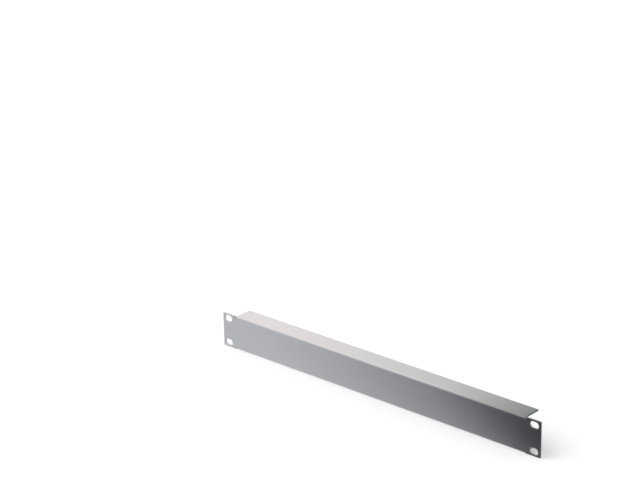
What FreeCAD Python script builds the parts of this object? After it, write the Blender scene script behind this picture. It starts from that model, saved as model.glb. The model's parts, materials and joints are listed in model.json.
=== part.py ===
import FreeCAD, Part
import math
import os
import Sketcher

# One-unit blanking panel for a 19 inch rack. It is one sheet of metal: a flat front with an ear at each
# end, folded back along its top and bottom edges between the ears. Each ear has two oval slots for the
# rack screws, and a narrow slit keeps it flat where the folds end.
#
# Frame, in millimetres: X runs along the panel, Z is up and the front looks towards -Y. The origin is
# the middle of the four slots, on the rear plane of the ears, which is the plane that meets the rack.

NODE = "blanking_panel"

# alias, value in millimetres, meaning
DIMENSIONS = [
    ("panelWidth", 482.6, "overall width, ears included"),
    ("rackUnit", 44.45, "height pitch of one rack unit"),
    ("heightGap", 0.8, "clearance to the next panel"),
    ("sheetThickness", 2.0, "sheet"),
    ("bendRadius", 0.5, "inner radius of the folds"),
    ("flangeLength", 440.0, "length of the folded edges"),
    ("flangeDepth", 25.0, "front face to the rear edge of a fold"),
    ("columnSpacing", 465.1, "slot centres across the panel"),
    ("rowSpacing", 31.75, "slot centres up an ear"),
    ("slotLength", 12.0, "slot, end to end"),
    ("slotWidth", 8.0, "slot, across"),
    ("reliefWidth", 0.8, "slit between a fold and an ear"),
    ("reliefDepth", 3.6, "slit, from the edge of the ear"),
    ("cornerRadius", 1.0, "corners of the ears"),
    ("edgeBreak", 0.2, "chamfer on the deburred edges"),
]

# Lengths that follow from the sheet, as expressions
HALF_WIDTH = "Dimensions.panelWidth / 2"
HALF_HEIGHT = "(Dimensions.rackUnit - Dimensions.heightGap) / 2"
HALF_FLANGE = "Dimensions.flangeLength / 2"
FOLD_LINE = HALF_HEIGHT + " - Dimensions.sheetThickness - Dimensions.bendRadius"
RELIEF_RADIUS = "Dimensions.reliefWidth / 2"
RELIEF_CENTRE = HALF_HEIGHT + " - Dimensions.reliefDepth + Dimensions.reliefWidth / 2"
FLANGE_END = "Dimensions.flangeDepth - Dimensions.sheetThickness"
SLOT_RADIUS = "Dimensions.slotWidth / 2"
SLOT_SPAN = "Dimensions.slotLength - Dimensions.slotWidth"
SLOT_FIRST = "(Dimensions.columnSpacing - Dimensions.slotLength + Dimensions.slotWidth) / 2"
SLOT_HEIGHT = "Dimensions.rowSpacing / 2"

# The sketcher's names for points and for the sketch's own axes
START, END, CENTRE = 1, 2, 3
ORIGIN = (-1, 1)
VERTICAL_AXIS = -2

QUARTER, HALF, THREE_QUARTERS = math.pi / 2, math.pi, 3 * math.pi / 2
FULL = 2 * math.pi

TOLERANCE = 0.001


def make_sheet(doc):
    sheet = doc.addObject("Spreadsheet::Sheet", "Dimensions")
    for row, (alias, value, meaning) in enumerate(DIMENSIONS, start=1):
        sheet.set(f"A{row}", meaning)
        sheet.set(f"B{row}", str(value))
        sheet.setAlias(f"B{row}", alias)
    doc.recompute()


def origin_plane(body, role):
    return next(plane for plane in body.Origin.OriginFeatures if plane.Role == role)


def new_sketch(body, name, role):
    sketch = body.newObject("Sketcher::SketchObject", name)
    sketch.AttachmentSupport = [(origin_plane(body, role), "")]
    sketch.MapMode = "FlatFace"
    return sketch


def size_of(sketch, expression):
    return float(sketch.evalExpression(expression))


def line(sketch, start, end):
    return sketch.addGeometry(Part.LineSegment(FreeCAD.Vector(*start), FreeCAD.Vector(*end)))


def arc(sketch, centre, radius, first, last):
    circle = Part.Circle(FreeCAD.Vector(*centre), FreeCAD.Vector(0, 0, 1), radius)
    return sketch.addGeometry(Part.ArcOfCircle(circle, first, last))


def join(sketch, *pairs):
    for first, second in pairs:
        sketch.addConstraint(Sketcher.Constraint("Coincident", *first, *second))


def blend(sketch, *pairs):
    for first, second in pairs:
        sketch.addConstraint(Sketcher.Constraint("Tangent", *first, *second))


def align(sketch, direction, *edges):
    for edge in edges:
        sketch.addConstraint(Sketcher.Constraint(direction, edge))


def drive(sketch, kind, name, geometry, expression):
    """A named dimension of a sketch, held by an expression of the sheet."""
    index = sketch.addConstraint(Sketcher.Constraint(kind, *geometry, size_of(sketch, expression)))
    sketch.renameConstraint(index, name)
    sketch.setExpression("Constraints." + name, expression)


def face_outline(body):
    """A quarter of the flat face: fold line, slit and ear, as seen from the front."""
    sketch = new_sketch(body, "FaceOutline", "XZ_Plane")
    width = size_of(sketch, HALF_WIDTH)
    height = size_of(sketch, HALF_HEIGHT)
    flange = size_of(sketch, HALF_FLANGE)
    fold = size_of(sketch, FOLD_LINE)
    radius = size_of(sketch, RELIEF_RADIUS)
    slit = size_of(sketch, RELIEF_CENTRE)
    ear = flange + 2 * radius

    middle = line(sketch, (0, 0), (width, 0))
    side = line(sketch, (width, 0), (width, height))
    top = line(sketch, (width, height), (ear, height))
    ear_wall = line(sketch, (ear, height), (ear, slit))
    slit_end = arc(sketch, (flange + radius, slit), radius, HALF, FULL)
    fold_wall = line(sketch, (flange, slit), (flange, fold))
    fold_line = line(sketch, (flange, fold), (0, fold))
    centre = line(sketch, (0, fold), (0, 0))

    join(sketch, ((middle, START), ORIGIN), ((middle, END), (side, START)), ((side, END), (top, START)),
         ((top, END), (ear_wall, START)), ((fold_wall, END), (fold_line, START)),
         ((fold_line, END), (centre, START)), ((centre, END), (middle, START)))
    blend(sketch, ((ear_wall, END), (slit_end, END)), ((slit_end, START), (fold_wall, START)))
    align(sketch, "Horizontal", middle, top, fold_line)
    align(sketch, "Vertical", side, ear_wall, fold_wall, centre)
    drive(sketch, "DistanceX", "halfWidth", (*ORIGIN, middle, END), HALF_WIDTH)
    drive(sketch, "DistanceY", "halfHeight", (*ORIGIN, side, END), HALF_HEIGHT)
    drive(sketch, "DistanceX", "halfFlange", (*ORIGIN, fold_line, START), HALF_FLANGE)
    drive(sketch, "DistanceY", "foldLine", (*ORIGIN, fold_line, START), FOLD_LINE)
    drive(sketch, "DistanceY", "slitCentre", (*ORIGIN, slit_end, CENTRE), RELIEF_CENTRE)
    drive(sketch, "Radius", "slitRadius", (slit_end,), RELIEF_RADIUS)
    return sketch


def slot_outline(body):
    """The upper right slot: two straight sides and two round ends."""
    sketch = new_sketch(body, "SlotOutline", "XZ_Plane")
    radius = size_of(sketch, SLOT_RADIUS)
    first = size_of(sketch, SLOT_FIRST)
    last = first + size_of(sketch, SLOT_SPAN)
    height = size_of(sketch, SLOT_HEIGHT)

    lower = line(sketch, (first, height - radius), (last, height - radius))
    outer = arc(sketch, (last, height), radius, THREE_QUARTERS, THREE_QUARTERS + HALF)
    upper = line(sketch, (last, height + radius), (first, height + radius))
    inner = arc(sketch, (first, height), radius, QUARTER, THREE_QUARTERS)

    blend(sketch, ((lower, END), (outer, START)), ((outer, END), (upper, START)),
          ((upper, END), (inner, START)), ((inner, END), (lower, START)))
    align(sketch, "Horizontal", lower, upper)
    drive(sketch, "Radius", "slotRadius", (outer,), SLOT_RADIUS)
    drive(sketch, "DistanceX", "slotSpan", (inner, CENTRE, outer, CENTRE), SLOT_SPAN)
    drive(sketch, "DistanceX", "slotFirst", (*ORIGIN, inner, CENTRE), SLOT_FIRST)
    drive(sketch, "DistanceY", "slotHeight", (*ORIGIN, inner, CENTRE), SLOT_HEIGHT)
    return sketch


def fold_section(body):
    """The upper fold in section: a quarter bend, then the flange that runs back from it."""
    sketch = new_sketch(body, "FoldSection", "YZ_Plane")
    thickness = size_of(sketch, "Dimensions.sheetThickness")
    radius = size_of(sketch, "Dimensions.bendRadius")
    height = size_of(sketch, HALF_HEIGHT)
    fold = size_of(sketch, FOLD_LINE)
    rear = size_of(sketch, FLANGE_END)

    root = line(sketch, (-thickness, fold), (0, fold))
    inside = arc(sketch, (radius, fold), radius, QUARTER, HALF)
    under = line(sketch, (radius, height - thickness), (rear, height - thickness))
    edge = line(sketch, (rear, height - thickness), (rear, height))
    over = line(sketch, (rear, height), (radius, height))
    outside = arc(sketch, (radius, fold), radius + thickness, QUARTER, HALF)

    join(sketch, ((root, START), (outside, END)), ((root, END), (inside, END)), ((under, END), (edge, START)),
         ((edge, END), (over, START)), ((inside, CENTRE), (outside, CENTRE)))
    blend(sketch, ((inside, START), (under, START)), ((over, END), (outside, START)))
    align(sketch, "Horizontal", root, under, over)
    align(sketch, "Vertical", edge)
    sketch.addConstraint(Sketcher.Constraint("PointOnObject", root, END, VERTICAL_AXIS))
    sketch.addConstraint(Sketcher.Constraint("Horizontal", root, END, inside, CENTRE))
    drive(sketch, "Radius", "insideRadius", (inside,), "Dimensions.bendRadius")
    drive(sketch, "DistanceY", "flangeThickness", (edge, START, edge, END), "Dimensions.sheetThickness")
    drive(sketch, "DistanceX", "flangeEnd", (*ORIGIN, edge, END), FLANGE_END)
    drive(sketch, "DistanceY", "flangeTop", (*ORIGIN, edge, END), HALF_HEIGHT)
    return sketch


def add_pad(body, name, sketch, length):
    """A pad along the sketch's own normal: to the front of the XZ plane, to the right of the YZ plane."""
    pad = body.newObject("PartDesign::Pad", name)
    pad.Profile = sketch
    pad.setExpression("Length", length)
    return pad


def add_slot(body, sketch):
    """The slot goes through the face, which lies in front of its sketch."""
    pocket = body.newObject("PartDesign::Pocket", "RackSlot")
    pocket.Profile = sketch
    pocket.Type = "ThroughAll"
    pocket.Reversed = True
    return pocket


def add_mirror(body, name, role):
    """The whole body so far, with its image across one of the origin planes."""
    mirror = body.newObject("PartDesign::Mirrored", name)
    mirror.TransformMode = "Whole shape"
    mirror.MirrorPlane = (origin_plane(body, role), [""])
    body.Tip = mirror
    return mirror


def dress_edges(body, kind, name, base, edges, prop, size):
    """A fillet or a chamfer on named edges of the body so far."""
    feature = body.newObject("PartDesign::" + kind, name)
    feature.Base = (base, edges)
    feature.setExpression(prop, size)
    return feature


def edge_names(shape, wanted):
    return [f"Edge{number}" for number, edge in enumerate(shape.Edges, start=1) if wanted(edge)]


def is_ear_corner(edge, width, height):
    """The edge through the sheet at the outer corner of an ear."""
    middle = edge.CenterOfMass
    return math.hypot(middle.x - width, middle.z - height) < TOLERANCE


def is_sheet_edge(shape, edge, thickness):
    """Where a side of the sheet meets its cut rim at a right angle, but not a corner of the rim itself."""
    middle = edge.valueAt((edge.FirstParameter + edge.LastParameter) / 2)
    first, second = [face.normalAt(*face.Surface.parameter(middle))
                     for face in shape.ancestorsOfType(edge, Part.Face)]
    rim_corner = edge.Curve.TypeId == "Part::GeomLine" and abs(edge.Length - thickness) < TOLERANCE
    return abs(first.dot(second)) < TOLERANCE and not rim_corner


def make_panel(doc):
    body = doc.addObject("PartDesign::Body", "BlankingPanel")
    body.Label = NODE
    doc.recompute()

    add_pad(body, "Face", face_outline(body), "Dimensions.sheetThickness")
    fold = add_pad(body, "Fold", fold_section(body), HALF_FLANGE)
    doc.recompute()
    volume = fold.Shape.Volume
    slot = add_slot(body, slot_outline(body))
    doc.recompute()
    if slot.Shape.Volume >= volume:
        raise RuntimeError("the slot cuts nothing")

    width = size_of(slot, HALF_WIDTH)
    height = size_of(slot, HALF_HEIGHT)
    corners = edge_names(slot.Shape, lambda edge: is_ear_corner(edge, width, height))
    dress_edges(body, "Fillet", "EarCorner", slot, corners, "Radius", "Dimensions.cornerRadius")
    doc.recompute()

    add_mirror(body, "LeftHalf", "YZ_Plane")
    doc.recompute()
    whole = add_mirror(body, "LowerHalf", "XY_Plane")
    doc.recompute()

    thickness = size_of(whole, "Dimensions.sheetThickness")
    rims = edge_names(whole.Shape, lambda edge: is_sheet_edge(whole.Shape, edge, thickness))
    dress_edges(body, "Chamfer", "DeburredEdges", whole, rims, "Size", "Dimensions.edgeBreak")
    doc.recompute()
    body.Placement = FreeCAD.Placement()
    return body


def check(doc, bodies):
    """Stops if any object of the document failed, or if a body has no sound shape."""
    for item in doc.Objects:
        if "Invalid" in item.State or "Error" in item.State:
            raise RuntimeError(item.Name + " failed")
    for body in bodies:
        if body.Shape.isNull() or not body.Shape.isValid() or len(body.Shape.Solids) != 1:
            raise RuntimeError(body.Label + " has no sound solid")


def main():
    doc = FreeCAD.newDocument("BlankingPanel")
    make_sheet(doc)
    bodies = [make_panel(doc)]
    doc.recompute()
    check(doc, bodies)
    os.makedirs("parts", exist_ok=True)
    for body in bodies:
        body.Shape.exportStep(f"parts/{body.Label}.step")
        box = body.Shape.optimalBoundingBox(True, False)
        print(body.Label, "size", round(box.XLength, 2), round(box.YLength, 2), round(box.ZLength, 2),
              "volume", round(body.Shape.Volume, 1))


main()
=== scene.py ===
import json
import math
import bpy
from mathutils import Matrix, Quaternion, Vector


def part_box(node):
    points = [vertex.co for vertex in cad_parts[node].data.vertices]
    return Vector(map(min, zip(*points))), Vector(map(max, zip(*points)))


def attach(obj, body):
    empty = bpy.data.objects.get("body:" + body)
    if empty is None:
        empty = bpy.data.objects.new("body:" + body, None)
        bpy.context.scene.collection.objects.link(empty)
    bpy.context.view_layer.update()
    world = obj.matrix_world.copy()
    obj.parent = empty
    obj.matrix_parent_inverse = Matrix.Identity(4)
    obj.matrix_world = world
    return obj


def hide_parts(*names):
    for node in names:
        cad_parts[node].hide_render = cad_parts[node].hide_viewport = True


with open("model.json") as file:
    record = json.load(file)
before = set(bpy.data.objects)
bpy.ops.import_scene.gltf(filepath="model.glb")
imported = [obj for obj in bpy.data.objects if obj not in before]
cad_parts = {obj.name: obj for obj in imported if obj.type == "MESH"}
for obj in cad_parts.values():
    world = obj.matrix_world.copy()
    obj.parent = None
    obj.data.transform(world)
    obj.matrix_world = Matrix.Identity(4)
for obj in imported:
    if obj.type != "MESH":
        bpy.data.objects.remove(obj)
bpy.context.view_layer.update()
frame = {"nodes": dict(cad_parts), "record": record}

# Blanking panel for a 19 inch rack: one aluminium sheet, cut flat, then folded back along two edges.
# X runs along the panel, Z is up and the front looks towards -Y. Lengths are in metres.

panelNode = "blanking_panel"
lowCorner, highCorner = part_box(panelNode)
panelCentre = (lowCorner + highCorner) / 2
rackSlots = next(mount["dims"] for mount in frame["record"]["mounts"] if mount["name"] == "rack_slots")
mm = 0.001


# small helpers for node trees

def addNode(tree, kind, inputs=None, **settings):
    node = tree.nodes.new(kind)
    for name, value in settings.items():
        setattr(node, name, value)
    for name, value in (inputs or {}).items():
        plug(tree, node.inputs[name], value)
    return node


def plug(tree, socket, value):
    if isinstance(value, bpy.types.NodeSocket):
        tree.links.new(value, socket)
    else:
        socket.default_value = value


def calc(tree, operation, *values):
    node = addNode(tree, "ShaderNodeMath", operation=operation)
    for socket, value in zip(node.inputs, values):
        plug(tree, socket, value)
    return node.outputs[0]


def join(tree, *parts):
    node = addNode(tree, "GeometryNodeJoinGeometry")
    for part in parts:
        tree.links.new(part, node.inputs[0])
    return node.outputs[0]


socketKinds = {int: "NodeSocketInt", float: "NodeSocketFloat", bpy.types.Material: "NodeSocketMaterial"}


def newTree(name, sizes, labels):
    # a tree with one named input for each of the labelled sizes
    tree = bpy.data.node_groups.new(name, "GeometryNodeTree")
    tree.interface.new_socket("Geometry", in_out="OUTPUT", socket_type="NodeSocketGeometry")
    tree.interface.new_socket("Geometry", in_out="INPUT", socket_type="NodeSocketGeometry")
    for label in labels:
        tree.interface.new_socket(label, in_out="INPUT", socket_type=socketKinds[type(sizes[label])])
    return tree, addNode(tree, "NodeGroupInput").outputs


def endTree(tree, geometry, material):
    realized = addNode(tree, "GeometryNodeRealizeInstances", {"Geometry": geometry})
    finished = addNode(tree, "GeometryNodeSetMaterial",
                       {"Geometry": realized.outputs[0], "Material": material})
    tree.links.new(finished.outputs[0], addNode(tree, "NodeGroupOutput").inputs[0])


def addTreeModifier(obj, tree, sizes):
    modifier = obj.modifiers.new(tree.name, "NODES")
    modifier.node_group = tree
    for socket in tree.interface.items_tree:
        if socket.in_out == "INPUT" and socket.name in sizes:
            modifier[socket.identifier] = sizes[socket.name]


def foldedHalfLength():
    # only the flanges reach this far back, so they give the length of the folds
    behindFront = highCorner.y / 2
    vertices = frame["nodes"][panelNode].data.vertices
    return max(vertex.co.x for vertex in vertices if vertex.co.y > behindFront)


panelSizes = {
    "thickness": 2.0 * mm,
    "innerRadius": 0.5 * mm,        # of the folds
    "slitWidth": 0.8 * mm,          # between a fold and an ear
    "slitDepth": 3.6 * mm,          # from the edge of the ear
    "earCorner": 1.0 * mm,
    "edgeBreak": 0.2 * mm,          # all round, after cutting
    "edgeSegments": 2,
    "edgeAngle": 60.0,              # degrees, only sharper edges are broken
    "bendRows": 14,                 # faces round each fold
    "cornerSteps": 8,
    "panelWidth": highCorner.x - lowCorner.x,
    "panelHeight": highCorner.z - lowCorner.z,
    "flangeRear": highCorner.y,
    "foldLength": 2 * foldedHalfLength(),
    "slotColumns": rackSlots["spacing_x_mm"] * mm,
    "slotRows": rackSlots["spacing_y_mm"] * mm,
    "slotLength": rackSlots["slot_length_mm"] * mm,
    "slotWidth": 2 * rackSlots["hole_r_mm"] * mm,
}
weld = 0.01 * mm                    # points closer than this are one


def flatFoldMiddle():
    # how far the middle of a fold is from the middle of the flat sheet
    innerRadius, thickness = panelSizes["innerRadius"], panelSizes["thickness"]
    foldLine = panelSizes["panelHeight"] / 2 - innerRadius - thickness
    return foldLine + (innerRadius + thickness / 2) * math.pi / 4


# Satin aluminium, clear anodised after cutting. The tone and roughness of clouds, grain, brush and marks
# say how far each strays to either side.
sheetFinish = {
    "colour": (0.72, 0.73, 0.74),
    "roughness": 0.34,
    "cloudSize": 70 * mm,           # slow change of tone along the sheet
    "cloudTone": 0.015,
    "cloudRoughness": 0.015,
    "grainLength": 60 * mm,         # lines left by rolling, along the panel
    "grainWidth": 0.7 * mm,
    "grainTone": 0.025,
    "grainRoughness": 0.03,
    "brushLength": 12 * mm,         # finer and shorter strokes over them
    "brushWidth": 0.16 * mm,
    "brushTone": 0.02,
    "etchSize": 0.35 * mm,          # matt texture under the anodising
    "reliefHeight": 0.006 * mm,
    "grainRelief": 0.8,             # heights beside the etch's, which is 1
    "brushRelief": 0.35,
    "rimRelief": 2.5,
    "rimTone": 0.97,                # cut edges: a little duller, with marks running through the sheet
    "rimMarkTone": 0.06,
    "rimMarkWidth": 0.14 * mm,
    "rimMarkLength": 3 * mm,
    "rimSmoothDepth": 0.35,         # share of the edge that the cutter left smooth, from the front
    "rimSmoothTone": 1.03,
    "rimSmoothRoughness": 0.32,
    "rimTornTone": 0.94,            # the rest of the edge, which broke off
    "rimTornRoughness": 0.46,
    "tearWander": 0.15 * mm,        # how far their limit wanders, and how soft it is
    "tearSoftness": 0.1 * mm,
    "dieMark": 7.5 * mm,            # from the middle of the fold to where the press held the sheet
    "dieMarkWidth": 0.5 * mm,
    "dieMarkPolish": 0.05,          # taken off the roughness there
}
noiseRange = (0.25, 0.75)           # nearly all of a noise lies between these


def makeSheetFinish():
    material = bpy.data.materials.new("satinAnodisedAluminium")
    material.use_nodes = True
    tree = material.node_tree
    shader = tree.nodes["Principled BSDF"]
    shader.inputs["Metallic"].default_value = 1.0
    flat = addNode(tree, "ShaderNodeAttribute", attribute_name="flatPosition").outputs["Vector"]
    rim = addNode(tree, "ShaderNodeAttribute", attribute_name="cutRim").outputs["Fac"]
    across, along, through = addNode(tree, "ShaderNodeSeparateXYZ", {0: flat}).outputs[:3]

    def noise(length, width, depth, detail):
        stretched = addNode(tree, "ShaderNodeMapping",
                            {"Vector": flat, "Scale": (1 / length, 1 / width, 1 / depth)})
        return addNode(tree, "ShaderNodeTexNoise",
                       {"Vector": stretched.outputs[0], "Scale": 1.0, "Detail": detail}).outputs["Fac"]

    def ranged(value, low, high, toLow, toHigh):
        return addNode(tree, "ShaderNodeMapRange", {
            "Value": value, "From Min": low, "From Max": high,
            "To Min": toLow, "To Max": toHigh}).outputs[0]

    def around(value, middle, spread):
        return ranged(value, *noiseRange, middle - spread, middle + spread)

    def mix(share, first, second):
        node = addNode(tree, "ShaderNodeMix", data_type="FLOAT")
        for socket, value in zip(node.inputs[0:1] + node.inputs[2:4], (share, first, second)):
            plug(tree, socket, value)
        return node.outputs[0]

    finish = sheetFinish
    clouds = noise(finish["cloudSize"], finish["cloudSize"], finish["cloudSize"], 3.0)
    grain = noise(finish["grainLength"], finish["grainWidth"], finish["grainWidth"], 4.0)
    brush = noise(finish["brushLength"], finish["brushWidth"], finish["brushWidth"], 2.0)
    etch = noise(finish["etchSize"], finish["etchSize"], finish["etchSize"], 2.0)
    rimMarks = noise(finish["rimMarkWidth"], finish["rimMarkWidth"], finish["rimMarkLength"], 2.0)

    # the press leaves a faint smoother line along each side of a fold
    fromMiddle = calc(tree, "ABSOLUTE", along)
    fromFold = calc(tree, "ABSOLUTE", calc(tree, "SUBTRACT", fromMiddle, flatFoldMiddle()))
    offMark = calc(tree, "ABSOLUTE", calc(tree, "SUBTRACT", fromFold, finish["dieMark"]))
    betweenEars = calc(tree, "LESS_THAN", calc(tree, "ABSOLUTE", across), panelSizes["foldLength"] / 2)
    dieMark = calc(tree, "MULTIPLY", betweenEars, ranged(offMark, 0.0, finish["dieMarkWidth"], 1.0, 0.0))

    # through the sheet, 0 is its middle and the front is up
    smoothEnd = panelSizes["thickness"] * (0.5 - finish["rimSmoothDepth"])
    torn = ranged(calc(tree, "ADD", through, around(rimMarks, 0.0, finish["tearWander"])),
                  smoothEnd - finish["tearSoftness"], smoothEnd + finish["tearSoftness"], 1.0, 0.0)

    faceTone = calc(tree, "MULTIPLY", around(clouds, 1.0, finish["cloudTone"]),
                    calc(tree, "MULTIPLY", around(grain, 1.0, finish["grainTone"]),
                         around(brush, 1.0, finish["brushTone"])))
    rimTone = calc(tree, "MULTIPLY", around(rimMarks, finish["rimTone"], finish["rimMarkTone"]),
                   ranged(torn, 0.0, 1.0, finish["rimSmoothTone"], finish["rimTornTone"]))
    colour = addNode(tree, "ShaderNodeVectorMath", {
        0: finish["colour"], "Scale": mix(rim, faceTone, rimTone)}, operation="SCALE")
    plug(tree, shader.inputs["Base Color"], colour.outputs[0])

    polish = calc(tree, "MULTIPLY", dieMark, -finish["dieMarkPolish"])
    faceRoughness = calc(tree, "ADD", around(clouds, finish["roughness"], finish["cloudRoughness"]),
                         calc(tree, "ADD", around(grain, 0.0, finish["grainRoughness"]), polish))
    rimRoughness = ranged(torn, 0.0, 1.0, finish["rimSmoothRoughness"], finish["rimTornRoughness"])
    plug(tree, shader.inputs["Roughness"], mix(rim, faceRoughness, rimRoughness))

    strokes = calc(tree, "ADD", calc(tree, "MULTIPLY", grain, finish["grainRelief"]),
                   calc(tree, "MULTIPLY", brush, finish["brushRelief"]))
    faceRelief = calc(tree, "ADD", etch, strokes)
    rimRelief = calc(tree, "MULTIPLY", rimMarks, finish["rimRelief"])
    relief = mix(rim, faceRelief, rimRelief)
    bump = addNode(tree, "ShaderNodeBump", {
        "Height": relief, "Strength": 1.0, "Distance": finish["reliefHeight"]})
    plug(tree, shader.inputs["Normal"], bump.outputs[0])
    return material


print("finish")
panelSizes["finish"] = makeSheetFinish()

foldInputs = ["panelHeight", "thickness", "innerRadius", "foldLength", "slitWidth", "finish"]
blankInputs = foldInputs + ["panelWidth", "slitDepth", "earCorner", "flangeRear", "bendRows", "cornerSteps",
                            "slotColumns", "slotRows", "slotLength", "slotWidth"]


def foldSizes(tree, size):
    # where the bend starts on the flat sheet, and how much sheet it takes
    outerRadius = calc(tree, "ADD", size["innerRadius"], size["thickness"])
    foldLine = calc(tree, "SUBTRACT", calc(tree, "MULTIPLY", size["panelHeight"], 0.5), outerRadius)
    middleRadius = calc(tree, "MULTIPLY_ADD", size["thickness"], 0.5, size["innerRadius"])
    bendLength = calc(tree, "MULTIPLY", middleRadius, math.pi / 2)
    return foldLine, bendLength, middleRadius


def quarterOutline(tree, size, foldLine):
    # a quarter of the front's outline, from the middle of the fold line round the slit and the ear
    halfWidth = calc(tree, "MULTIPLY", size["panelWidth"], 0.5)
    halfHeight = calc(tree, "MULTIPLY", size["panelHeight"], 0.5)
    halfFold = calc(tree, "MULTIPLY", size["foldLength"], 0.5)
    slitRadius = calc(tree, "MULTIPLY", size["slitWidth"], 0.5)
    slitBottom = calc(tree, "SUBTRACT", halfHeight, size["slitDepth"])
    earSide = calc(tree, "ADD", halfFold, size["slitWidth"])
    corners = [
        (0.0, foldLine, 0.0),
        (halfFold, foldLine, 0.0),
        (halfFold, slitBottom, slitRadius),
        (earSide, slitBottom, slitRadius),
        (earSide, halfHeight, 0.0),
        (halfWidth, halfHeight, size["earCorner"]),
        (halfWidth, 0.0, 0.0),
    ]
    index = addNode(tree, "GeometryNodeInputIndex").outputs[0]
    place = addNode(tree, "GeometryNodeIndexSwitch", {"Index": index}, data_type="VECTOR")
    radius = addNode(tree, "GeometryNodeIndexSwitch", {"Index": index}, data_type="FLOAT")
    for number, (across, up, rounding) in enumerate(corners):
        if number > 1:
            place.index_switch_items.new()
            radius.index_switch_items.new()
        point = addNode(tree, "ShaderNodeCombineXYZ", {"X": across, "Y": up})
        plug(tree, place.inputs[str(number)], point.outputs[0])
        plug(tree, radius.inputs[str(number)], rounding)

    line = addNode(tree, "GeometryNodeMeshLine", {"Count": len(corners)})
    marked = addNode(tree, "GeometryNodeStoreNamedAttribute",
                     {"Geometry": line.outputs[0], "Name": "rounding", "Value": radius.outputs[0]})
    placed = addNode(tree, "GeometryNodeSetPosition",
                     {"Geometry": marked.outputs[0], "Position": place.outputs[0]})
    curve = addNode(tree, "GeometryNodeMeshToCurve", {"Mesh": placed.outputs[0]})
    rounding = addNode(tree, "GeometryNodeInputNamedAttribute", {"Name": "rounding"})
    rounded = addNode(tree, "GeometryNodeFilletCurve", {
        "Curve": curve.outputs[0], "Count": size["cornerSteps"], "Radius": rounding.outputs[0],
        "Limit Radius": True}, mode="POLY")
    return addNode(tree, "GeometryNodeCurveToMesh", {"Curve": rounded.outputs[0]}).outputs[0]


def mergeClose(tree, geometry):
    return addNode(tree, "GeometryNodeMergeByDistance",
                   {"Geometry": geometry, "Distance": weld}).outputs[0]


def wholeOutline(tree, quarter):
    # the quarter and its images, joined to one closed line
    images = [addNode(tree, "GeometryNodeTransform", {"Geometry": quarter, "Scale": scale}).outputs[0]
              for scale in ((1, 1, 1), (-1, 1, 1), (-1, -1, 1), (1, -1, 1))]
    whole = mergeClose(tree, join(tree, *images))
    return addNode(tree, "GeometryNodeMeshToCurve", {"Mesh": whole}).outputs[0]


def slotOutlines(tree, size):
    # one oval on each corner of the grid of rack holes
    box = addNode(tree, "GeometryNodeCurvePrimitiveQuadrilateral",
                  {"Width": size["slotLength"], "Height": size["slotWidth"]})
    oval = addNode(tree, "GeometryNodeFilletCurve", {
        "Curve": box.outputs[0], "Count": calc(tree, "MULTIPLY", size["cornerSteps"], 2),
        "Radius": calc(tree, "MULTIPLY", size["slotWidth"], 0.5), "Limit Radius": True}, mode="POLY")
    grid = addNode(tree, "GeometryNodeMeshGrid", {
        "Size X": size["slotColumns"], "Size Y": size["slotRows"], "Vertices X": 2, "Vertices Y": 2})
    ovals = addNode(tree, "GeometryNodeInstanceOnPoints",
                    {"Points": grid.outputs[0], "Instance": oval.outputs[0]})
    return addNode(tree, "GeometryNodeRealizeInstances", {"Geometry": ovals.outputs[0]}).outputs[0]


def strip(tree, size, start, length, rows):
    # a strip of sheet beyond the fold line
    grid = addNode(tree, "GeometryNodeMeshGrid", {
        "Size X": size["foldLength"], "Size Y": length, "Vertices X": 3,
        "Vertices Y": calc(tree, "ADD", rows, 1)})
    move = addNode(tree, "ShaderNodeCombineXYZ", {"Y": calc(tree, "MULTIPLY_ADD", length, 0.5, start)})
    return addNode(tree, "GeometryNodeTransform",
                   {"Geometry": grid.outputs[0], "Translation": move.outputs[0]}).outputs[0]


def makeBlankTree():
    tree, size = newTree("cutBlank", panelSizes, blankInputs)
    foldLine, bendLength = foldSizes(tree, size)[:2]

    outline = wholeOutline(tree, quarterOutline(tree, size, foldLine))
    front = addNode(tree, "GeometryNodeFillCurve",
                    {"Curve": join(tree, outline, slotOutlines(tree, size))}, mode="NGONS").outputs[0]
    bendEnd = calc(tree, "ADD", foldLine, bendLength)
    flangeLength = calc(tree, "SUBTRACT", size["flangeRear"], size["innerRadius"])
    upper = join(tree, strip(tree, size, foldLine, bendLength, size["bendRows"]),
                 strip(tree, size, bendEnd, flangeLength, 1))
    lower = addNode(tree, "GeometryNodeTransform",
                    {"Geometry": upper, "Rotation": (0, 0, math.pi)}).outputs[0]
    blank = mergeClose(tree, join(tree, front, upper, lower))

    # thickness, half to each side of the drawn plane
    halfDown = addNode(tree, "ShaderNodeCombineXYZ",
                       {"Z": calc(tree, "MULTIPLY", size["thickness"], -0.5)})
    rear = addNode(tree, "GeometryNodeTransform",
                   {"Geometry": blank, "Translation": halfDown.outputs[0]}).outputs[0]
    raised = addNode(tree, "GeometryNodeExtrudeMesh",
                     {"Mesh": rear, "Offset Scale": size["thickness"], "Individual": False})
    rimmed = addNode(tree, "GeometryNodeStoreNamedAttribute", {
        "Geometry": raised.outputs["Mesh"], "Selection": raised.outputs["Side"],
        "Name": "cutRim", "Value": 1.0}, domain="FACE")
    rearSide = addNode(tree, "GeometryNodeFlipFaces", {"Mesh": rear}).outputs[0]
    solid = mergeClose(tree, join(tree, rimmed.outputs[0], rearSide))
    smooth = addNode(tree, "GeometryNodeSetShadeSmooth", {"Geometry": solid})
    drawn = addNode(tree, "GeometryNodeStoreNamedAttribute", {
        "Geometry": smooth.outputs[0], "Name": "flatPosition",
        "Value": addNode(tree, "GeometryNodeInputPosition").outputs[0]}, data_type="FLOAT_VECTOR")
    endTree(tree, drawn.outputs[0], size["finish"])
    return tree


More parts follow.
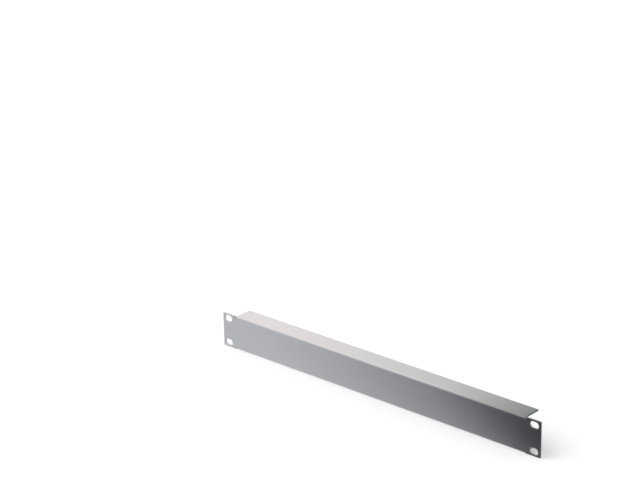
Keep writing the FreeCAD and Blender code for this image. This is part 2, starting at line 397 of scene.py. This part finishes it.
def makeFoldTree():
    # bends the flat sheet, whose folds run along X, and stands it up: the front ends in the XZ plane
    tree, size = newTree("foldBlank", panelSizes, foldInputs)
    foldLine, bendLength, middleRadius = foldSizes(tree, size)
    position = addNode(tree, "GeometryNodeInputPosition").outputs[0]
    across, along, through = addNode(tree, "ShaderNodeSeparateXYZ", {0: position}).outputs[:3]

    foldEnd = calc(tree, "MULTIPLY", calc(tree, "ADD", size["foldLength"], size["slitWidth"]), 0.5)
    folds = calc(tree, "LESS_THAN", calc(tree, "ABSOLUTE", across), foldEnd)
    reach = calc(tree, "ABSOLUTE", along)
    pastLine = calc(tree, "MAXIMUM", calc(tree, "SUBTRACT", reach, foldLine), 0.0)
    beyond = calc(tree, "MULTIPLY", pastLine, folds)
    angle = calc(tree, "MINIMUM", calc(tree, "DIVIDE", beyond, middleRadius), math.pi / 2)
    straight = calc(tree, "MAXIMUM", calc(tree, "SUBTRACT", beyond, bendLength), 0.0)
    radius = calc(tree, "ADD", middleRadius, through)

    back = calc(tree, "SUBTRACT", calc(tree, "ADD", size["innerRadius"], straight),
                calc(tree, "MULTIPLY", radius, calc(tree, "COSINE", angle)))
    up = calc(tree, "ADD", calc(tree, "SUBTRACT", reach, beyond),
              calc(tree, "MULTIPLY", radius, calc(tree, "SINE", angle)))
    signedUp = calc(tree, "MULTIPLY", up, calc(tree, "SIGN", along))
    place = addNode(tree, "ShaderNodeCombineXYZ", {"X": across, "Y": back, "Z": signedUp})
    folded = addNode(tree, "GeometryNodeSetPosition",
                     {"Geometry": size["Geometry"], "Position": place.outputs[0]})
    endTree(tree, folded.outputs[0], size["finish"])
    return tree


def makePanel():
    panel = bpy.data.objects.new("blankingPanelSheet", bpy.data.meshes.new("blankingPanelSheet"))
    bpy.context.scene.collection.objects.link(panel)
    addTreeModifier(panel, makeBlankTree(), panelSizes)
    deburr = panel.modifiers.new("deburr", "BEVEL")
    deburr.width = panelSizes["edgeBreak"]
    deburr.segments = panelSizes["edgeSegments"]
    deburr.limit_method = "ANGLE"
    deburr.angle_limit = math.radians(panelSizes["edgeAngle"])
    deburr.use_clamp_overlap = False
    deburr.loop_slide = False
    addTreeModifier(panel, makeFoldTree(), panelSizes)
    shading = panel.modifiers.new("flatShading", "WEIGHTED_NORMAL")
    shading.mode = "FACE_AREA"

    evaluated = panel.evaluated_get(bpy.context.evaluated_depsgraph_get())
    finished = bpy.data.meshes.new_from_object(evaluated)
    panel.modifiers.clear()
    panel.data = finished
    return panel


print("panel")
panel = makePanel()
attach(panel, "root")
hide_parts(panelNode)


studio = {
    "floorSize": 30.0,
    "floorColour": (0.82, 0.82, 0.82),
    "floorLift": 0.22,              # brings the lit floor up to white, shadows stay
    "worldLight": 0.62,
    "keyLight": 1.75,
    "keySpread": 70.0,              # degrees across, as a big soft box
    "keyPlace": (-1.3, -0.9, 1.7),
}


def seenDirectly(tree):
    # 1 for what the camera, a reflection or glass sees
    path = addNode(tree, "ShaderNodeLightPath").outputs
    some = calc(tree, "MAXIMUM", path["Is Camera Ray"], path["Is Glossy Ray"])
    return calc(tree, "MAXIMUM", some, path["Is Transmission Ray"])


def makePlane(name, corners):
    mesh = bpy.data.meshes.new(name)
    mesh.from_pydata(corners, [], [(0, 1, 2, 3)])
    plane = bpy.data.objects.new(name, mesh)
    bpy.context.scene.collection.objects.link(plane)
    return plane


def makeFloor():
    half = studio["floorSize"] / 2
    level = lowCorner.z
    floor = makePlane("studioFloor", [(-half, -half, level), (half, -half, level),
                                      (half, half, level), (-half, half, level)])
    material = bpy.data.materials.new("paleFloor")
    material.use_nodes = True
    tree = material.node_tree
    shader = tree.nodes["Principled BSDF"]
    shader.inputs["Base Color"].default_value = (*studio["floorColour"], 1)
    shader.inputs["Roughness"].default_value = 1.0
    shader.inputs["Specular IOR Level"].default_value = 0.0
    shader.inputs["Emission Color"].default_value = (1, 1, 1, 1)
    plug(tree, shader.inputs["Emission Strength"],
         calc(tree, "MULTIPLY", seenDirectly(tree), studio["floorLift"]))
    floor.data.materials.append(material)


def makeWorld():
    world = bpy.data.worlds.new("studioWorld")
    world.use_nodes = True
    bpy.context.scene.world = world
    tree = world.node_tree
    background = tree.nodes["Background"]
    background.inputs["Color"].default_value = (1, 1, 1, 1)
    strength = calc(tree, "MAXIMUM", seenDirectly(tree), studio["worldLight"])
    plug(tree, background.inputs["Strength"], strength)


# A small tent of cards round the panel, which only reflections see. The cards glow and carry painted
# reflections:
# painted light and shade for the metal to show, lighter at the left end and darker towards the right. Each
# card is shaded along the panel, from the left to the right: how far along, then its colour there. A lean
# moves the shades along, by so much for each metre to the back and for each metre up.
tent = {
    "halfLength": 0.9,
    "front": -0.15,
    "back": 0.16,
    "height": 0.16,
    "lift": 0.05 * mm,              # off the floor
    "floorLean": (-1.8, 0.0),
    "floorShades": [
        (-0.25, (0.630, 0.630, 0.651)),
        (-0.16, (0.619, 0.620, 0.642)),
        (-0.11, (0.598, 0.600, 0.621)),
        (-0.02, (0.507, 0.510, 0.529)),
        (0.06, (0.416, 0.420, 0.436)),
        (0.12, (0.346, 0.349, 0.366)),
        (0.18, (0.254, 0.256, 0.271)),
        (0.24, (0.116, 0.117, 0.127)),
        (0.29, (0.035, 0.036, 0.040)),
    ],
    "rearShades": [
        (-0.25, (0.420, 0.420, 0.428)),
        (0.22, (0.290, 0.290, 0.296)),
        (0.27, (0.110, 0.110, 0.113)),
    ],
    "overheadShades": [
        (-0.33, (1.065, 1.000, 0.980)),
        (-0.20, (1.060, 1.010, 0.990)),
        (-0.05, (0.960, 0.945, 0.935)),
        (0.03, (0.800, 0.795, 0.775)),
        (0.10, (0.350, 0.365, 0.342)),
        (0.24, (0.365, 0.366, 0.362)),
    ],
    "frontShades": [
        (-0.33, (0.700, 0.700, 0.720)),
        (-0.05, (0.550, 0.550, 0.560)),
        (0.03, (0.450, 0.450, 0.460)),
        (0.10, (0.240, 0.240, 0.245)),
    ],
    "backLean": (0.0, 1.8),
    "backShades": [
        (-0.135, (1.050, 0.988, 0.970)),
        (-0.005, (0.932, 0.882, 0.864)),
        (0.145, (0.755, 0.742, 0.732)),
        (0.225, (0.725, 0.730, 0.706)),
        (0.285, (0.418, 0.444, 0.410)),
        (0.345, (0.122, 0.128, 0.120)),
        (0.415, (0.010, 0.011, 0.010)),
        (0.520, (0.360, 0.360, 0.360)),
    ],
}


def makeCard(name, corners, shades, lean=(0.0, 0.0)):
    card = makePlane(name, corners)
    card.visible_camera = False
    card.visible_diffuse = False
    card.visible_transmission = False
    card.visible_shadow = False
    material = bpy.data.materials.new(name)
    material.use_nodes = True
    tree = material.node_tree
    tree.nodes.remove(tree.nodes["Principled BSDF"])
    place = addNode(tree, "ShaderNodeTexCoord").outputs["Object"]
    across, deep, high = addNode(tree, "ShaderNodeSeparateXYZ", {0: place}).outputs[:3]
    leanBack, leanUp = lean
    along = calc(tree, "MULTIPLY_ADD", deep, leanBack, calc(tree, "MULTIPLY_ADD", high, leanUp, across))
    ramp = addNode(tree, "ShaderNodeValToRGB")
    first, last = shades[0][0], shades[-1][0]
    plug(tree, ramp.inputs["Fac"], addNode(tree, "ShaderNodeMapRange", {
        "Value": along, "From Min": first, "From Max": last}).outputs[0])
    stops = ramp.color_ramp.elements
    while len(stops) < len(shades):
        stops.new(0.5)
    for stop, (spot, colour) in zip(stops, shades):
        stop.position = (spot - first) / (last - first)
        stop.color = (*colour, 1)
    # the card glows in its painted shade, a painted reflection that only the metal shows
    glow = addNode(tree, "ShaderNodeEmission", {"Color": ramp.outputs["Color"]})
    plug(tree, tree.nodes["Material Output"].inputs["Surface"], glow.outputs[0])
    card.data.materials.append(material)


def makeTent():
    half, front, back, top = tent["halfLength"], tent["front"], tent["back"], tent["height"]
    base = lowCorner.z + tent["lift"]
    makeCard("floorCard",
             [(-half, front, base), (half, front, base), (half, 0, base), (-half, 0, base)],
             tent["floorShades"], tent["floorLean"])
    makeCard("rearFloorCard",
             [(-half, 0, base), (half, 0, base), (half, back, base), (-half, back, base)],
             tent["rearShades"])
    makeCard("frontCard",
             [(-half, front, base), (-half, front, top), (half, front, top), (half, front, base)],
             tent["frontShades"])
    makeCard("topCard",
             [(-half, front, top), (-half, back, top), (half, back, top), (half, front, top)],
             tent["overheadShades"])
    makeCard("backCard",
             [(-half, back, base), (half, back, base), (half, back, top), (-half, back, top)],
             tent["backShades"], tent["backLean"])


def aimAt(obj, place, target, turn=0.0):
    direction = Vector(target) - Vector(place)
    obj.location = place
    rotation = direction.to_track_quat("-Z", "Y") @ Quaternion((0, 0, 1), math.radians(turn))
    obj.rotation_euler = rotation.to_euler()


def makeKeyLight():
    light = bpy.data.lights.new("keyLight", "SUN")
    light.energy = studio["keyLight"]
    light.angle = math.radians(studio["keySpread"])
    lamp = bpy.data.objects.new("keyLight", light)
    lamp.visible_glossy = False     # the cards are what the metal shows
    bpy.context.scene.collection.objects.link(lamp)
    aimAt(lamp, studio["keyPlace"], panelCentre)


cameraView = {
    "lens": 109.55,
    "place": (1.3475, -1.566, 0.9511),
    "aim": (-0.0867, 0.0084, 0.1512),
    "turn": -1.0,                   # degrees round the line of sight
    "farthest": 100.0,
}


def makeCamera():
    lens = bpy.data.cameras.new("studioCamera")
    lens.lens = cameraView["lens"]
    lens.clip_end = cameraView["farthest"]
    camera = bpy.data.objects.new("studioCamera", lens)
    bpy.context.scene.collection.objects.link(camera)
    aimAt(camera, cameraView["place"], cameraView["aim"], cameraView["turn"])
    bpy.context.scene.camera = camera


print("studio")
makeFloor()
makeWorld()
makeTent()
makeKeyLight()
makeCamera()
bpy.context.scene.view_settings.view_transform = "Standard"

bpy.context.view_layer.update()
print("done")
